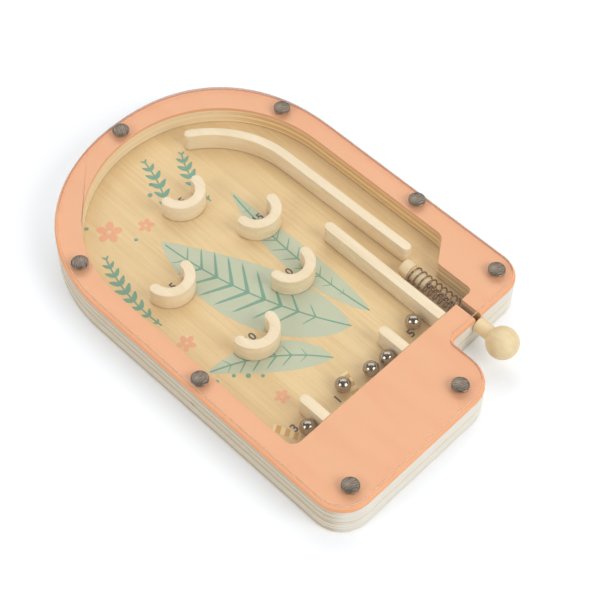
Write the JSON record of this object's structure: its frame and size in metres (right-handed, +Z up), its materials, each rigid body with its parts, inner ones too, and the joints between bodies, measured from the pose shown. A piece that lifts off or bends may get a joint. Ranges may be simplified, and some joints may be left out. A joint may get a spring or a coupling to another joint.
{
  "type": "tabletop pinball game",
  "caption": "Flat tabletop pinball game of plywood with a round top end, crescent catch cups, steel balls under a clear cover and a spring plunger with a wooden knob.",
  "frame": {"origin": "middle of the footprint, on the surface that the board lies on", "axes": "+X to the player's right, +Y away from the player towards the round end, +Z up out of the board"},
  "size_m": [0.2, 0.301, 0.0312],
  "materials": {
    "birch_plywood": "clear lacquered birch plywood with its dark glue lines on the edges, satin",
    "coral_painted_plywood": "birch plywood ring, coral lacquer on the top face and its rounded edge, bare plies on the sides",
    "clear_acrylic": "clear cast acrylic sheet, polished",
    "burnished_steel": "burnished grey-brown steel, satin",
    "polished_steel": "polished steel",
    "turned_beech": "turned beech, clear satin lacquer"
  },
  "bodies": {
    "board": {"base_board": "birch_plywood", "launch_rail": "birch_plywood", "lane_wall": "birch_plywood", "divider_left": "birch_plywood", "divider_right": "birch_plywood", "cup_top": "birch_plywood", "cup_left": "birch_plywood", "cup_right": "birch_plywood", "cup_middle": "birch_plywood", "cup_low": "birch_plywood", "side_frame": "coral_painted_plywood", "clear_cover": "clear_acrylic", "cover_pin_1": "burnished_steel", "cover_pin_2": "burnished_steel", "cover_pin_3": "burnished_steel", "cover_pin_4": "burnished_steel", "cover_pin_5": "burnished_steel", "cover_pin_6": "burnished_steel", "cover_pin_7": "burnished_steel", "cover_pin_8": "burnished_steel", "plunger_spring": "polished_steel"},
    "plunger": {"pull_knob": "turned_beech", "plunger_rod": "polished_steel", "plunger_head": "turned_beech"},
    "ball_1": {"ball_1": "polished_steel"},
    "ball_2": {"ball_2": "polished_steel"},
    "ball_3": {"ball_3": "polished_steel"},
    "ball_4": {"ball_4": "polished_steel"},
    "ball_5": {"ball_5": "polished_steel"}
  },
  "joints": [
    {"name": "plunger_slide", "type": "slide", "parent": "board", "child": "plunger", "axis": [0, -1, 0], "range_m": [0, 0.0235], "stiffness_N_per_m": 120, "springref_m": -0.006, "deforming": ["plunger_spring"]},
    {"name": "ball_1_roll", "type": "slide", "parent": "board", "child": "ball_1", "axis": [0, 1, 0], "range_m": [0, 0.11]},
    {"name": "ball_2_roll", "type": "slide", "parent": "board", "child": "ball_2", "axis": [0, 1, 0], "range_m": [0, 0.043]},
    {"name": "ball_3_roll", "type": "slide", "parent": "board", "child": "ball_3", "axis": [0, 1, 0], "range_m": [0, 0.07]},
    {"name": "ball_4_roll", "type": "slide", "parent": "board", "child": "ball_4", "axis": [0, 1, 0], "range_m": [0, 0.063]},
    {"name": "ball_5_roll", "type": "slide", "parent": "board", "child": "ball_5", "axis": [0, 1, 0], "range_m": [0, 0.102]}
  ]
}
